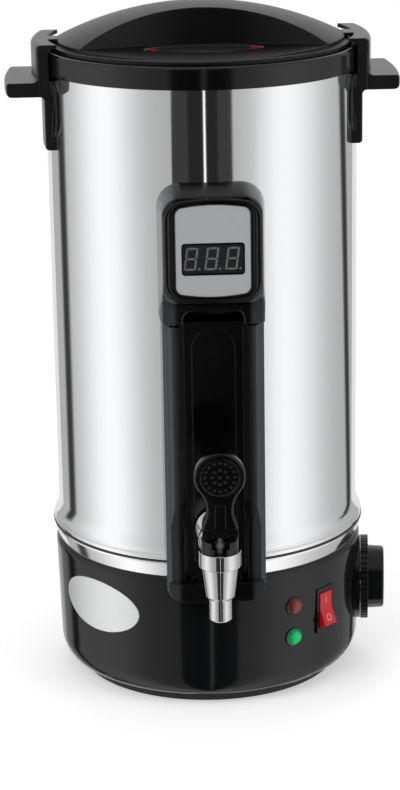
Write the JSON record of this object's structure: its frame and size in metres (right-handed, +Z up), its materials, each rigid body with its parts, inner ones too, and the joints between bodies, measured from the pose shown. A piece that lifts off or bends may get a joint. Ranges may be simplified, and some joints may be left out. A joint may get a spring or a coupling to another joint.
{
  "type": "candle wax melter",
  "caption": "Electric wax melter: a double-walled steel pot on a black heated base, with a twist lid, side handles, a front display and a lever tap.",
  "frame": {"origin": "on the pot's axis, in the plane that the foot ring stands on", "axes": "+Z up along the pot's axis; -Y towards the front, where the tap and display are; +X towards the right side, where the knob is"},
  "size_m": [0.2522, 0.2674, 0.4452],
  "materials": {
    "polished_steel": "mirror-polished stainless steel",
    "plain_steel": "plain stainless steel",
    "silver_trim": "bright silver",
    "tap_chrome": "polished, chrome-plated",
    "gloss_black": "high gloss black",
    "satin_black": "satin black with a fine texture",
    "foot_rubber": "matt black rubber",
    "label_grey": "matt grey plate",
    "display_pane": "smoked clear pane",
    "digit_grey": "unlit pale segments",
    "board_green": "green circuit board",
    "lead_red": "red silicone sheath",
    "silicone": "pale silicone",
    "rocker_red": "gloss red",
    "lens_red": "dark red lens",
    "lens_green": "green lens",
    "pale_plastic": "pale nylon",
    "contact_brass": "plain brass",
    "copper_tube": "plain copper",
    "cast_aluminium": "as cast",
    "element_steel": "heat-tinted sheath",
    "heat_ceramic": "matt moulding"
  },
  "bodies": {
    "vessel": {"outer_shell": "polished_steel", "inner_pot": "plain_steel", "collar_ring": "satin_black", "left_handle": "satin_black", "right_handle": "satin_black", "handle_screws": "plain_steel", "front_housing": "satin_black", "housing_screws": "plain_steel", "display_hood": "satin_black", "display_bezel": "gloss_black", "display_label": "label_grey", "display_window": "display_pane", "led_module": "gloss_black", "led_digits": "digit_grey", "display_board": "board_green", "display_lead": "lead_red", "trim_band": "silver_trim", "base_shell": "gloss_black", "foot_ring": "foot_rubber", "bottom_plate": "plain_steel", "bottom_screws": "plain_steel", "badge_plate": "silver_trim", "tap_body": "tap_chrome", "tap_shank": "plain_steel", "tap_washers": "silicone", "tap_nut": "plain_steel", "tap_bonnet": "satin_black", "tap_spring": "plain_steel", "dial_plate": "gloss_black", "thermostat_body": "heat_ceramic", "thermostat_screws": "plain_steel", "switch_body": "gloss_black", "switch_terminals": "contact_brass", "red_lamp": "lens_red", "green_lamp": "lens_green", "lamp_clips": "pale_plastic", "power_inlet": "satin_black", "inlet_pins": "contact_brass", "inlet_screws": "plain_steel", "heater_stud": "plain_steel", "heater_plate": "cast_aluminium", "heating_element": "element_steel", "heater_clamp": "plain_steel", "heater_nuts": "plain_steel", "heat_shield": "plain_steel", "thermal_cutout": "plain_steel", "sensor_bulb": "copper_tube", "capillary": "copper_tube", "terminal_block": "pale_plastic"},
    "lid_carrier": {"lid_seal": "silicone"},
    "lid": {"lid": "satin_black", "lid_inlay": "label_grey"},
    "lever": {"tap_lever": "satin_black", "lever_pivot_pin": "plain_steel", "lever_link_pin": "plain_steel"},
    "stem": {"valve_stem": "plain_steel", "valve_disc": "silicone"},
    "knob": {"control_knob": "gloss_black", "thermostat_shaft": "plain_steel"},
    "rocker": {"rocker": "rocker_red"}
  },
  "joints": [
    {"name": "lid_lift", "type": "slide", "parent": "vessel", "child": "lid_carrier", "axis": [0, 0, 1], "range_m": [0, 0.25]},
    {"name": "lid_twist", "type": "hinge", "parent": "lid_carrier", "child": "lid", "pos_m": [0, 0, 0.4126], "axis": [0, 0, 1], "range_deg": [0, 30]},
    {"name": "lever_tilt", "type": "hinge", "parent": "vessel", "child": "lever", "pos_m": [0, -0.155, 0.1405], "axis": [1, 0, 0], "range_deg": [0, 30], "stiffness_Nm_per_rad": 0.4, "springref_deg": -28.65},
    {"name": "stem_lift", "type": "slide", "parent": "vessel", "child": "stem", "axis": [0, 0, 1], "range_m": [0, 0.0025], "deforming": ["tap_spring"]},
    {"name": "knob_turn", "type": "hinge", "parent": "vessel", "child": "knob", "pos_m": [0.1, -0.01051, 0.0545], "axis": [0.9945, -0.1045, 0], "range_deg": [-270, 0]},
    {"name": "rocker_tilt", "type": "hinge", "parent": "vessel", "child": "rocker", "pos_m": [0.07099, -0.07049, 0.056], "axis": [0.7046, 0.7096, 0], "range_deg": [0, 24]}
  ],
  "couplings": [
    {"joint": "stem_lift", "follows": "lever_tilt", "m_per_rad": 0.00477}
  ]
}
